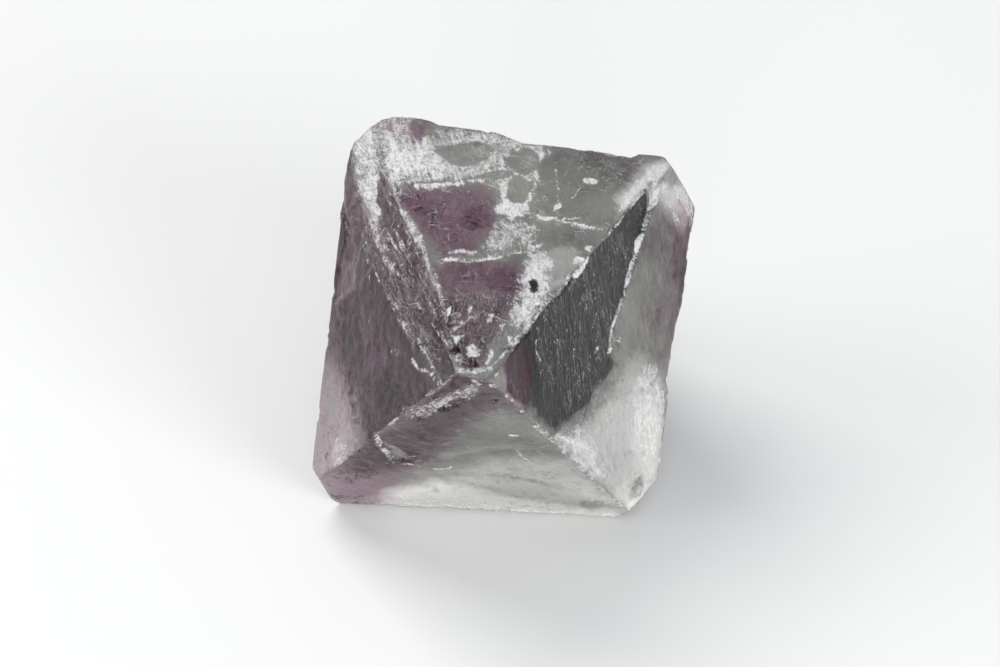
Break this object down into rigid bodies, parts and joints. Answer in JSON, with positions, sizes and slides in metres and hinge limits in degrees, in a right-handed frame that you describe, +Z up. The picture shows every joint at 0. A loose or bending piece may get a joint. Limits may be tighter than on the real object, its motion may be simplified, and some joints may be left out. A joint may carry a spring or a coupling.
{
  "type": "fluorite octahedron",
  "caption": "Cleaved fluorite crystal in the shape of an octahedron, clear to pale violet, with stepped ledges on its faces and a broken ridge, resting on one triangular face.",
  "frame": {"origin": "on the rest face, straight below the centre that the cleavage planes are measured from", "axes": "+Z up, square to the rest face; +X along the rest face's front edge, towards its right end; -Y to the front, where the leaning front face and the upper front corner are"},
  "size_m": [0.0281, 0.033, 0.0258],
  "materials": {
    "fluorite": "cleaved fluorite, clear to milky grey-green with violet zones, satin on its cleavage faces and white where it is bruised"
  },
  "bodies": {
    "root": {"fluorite_octahedron": "fluorite"}
  },
  "joints": []
}
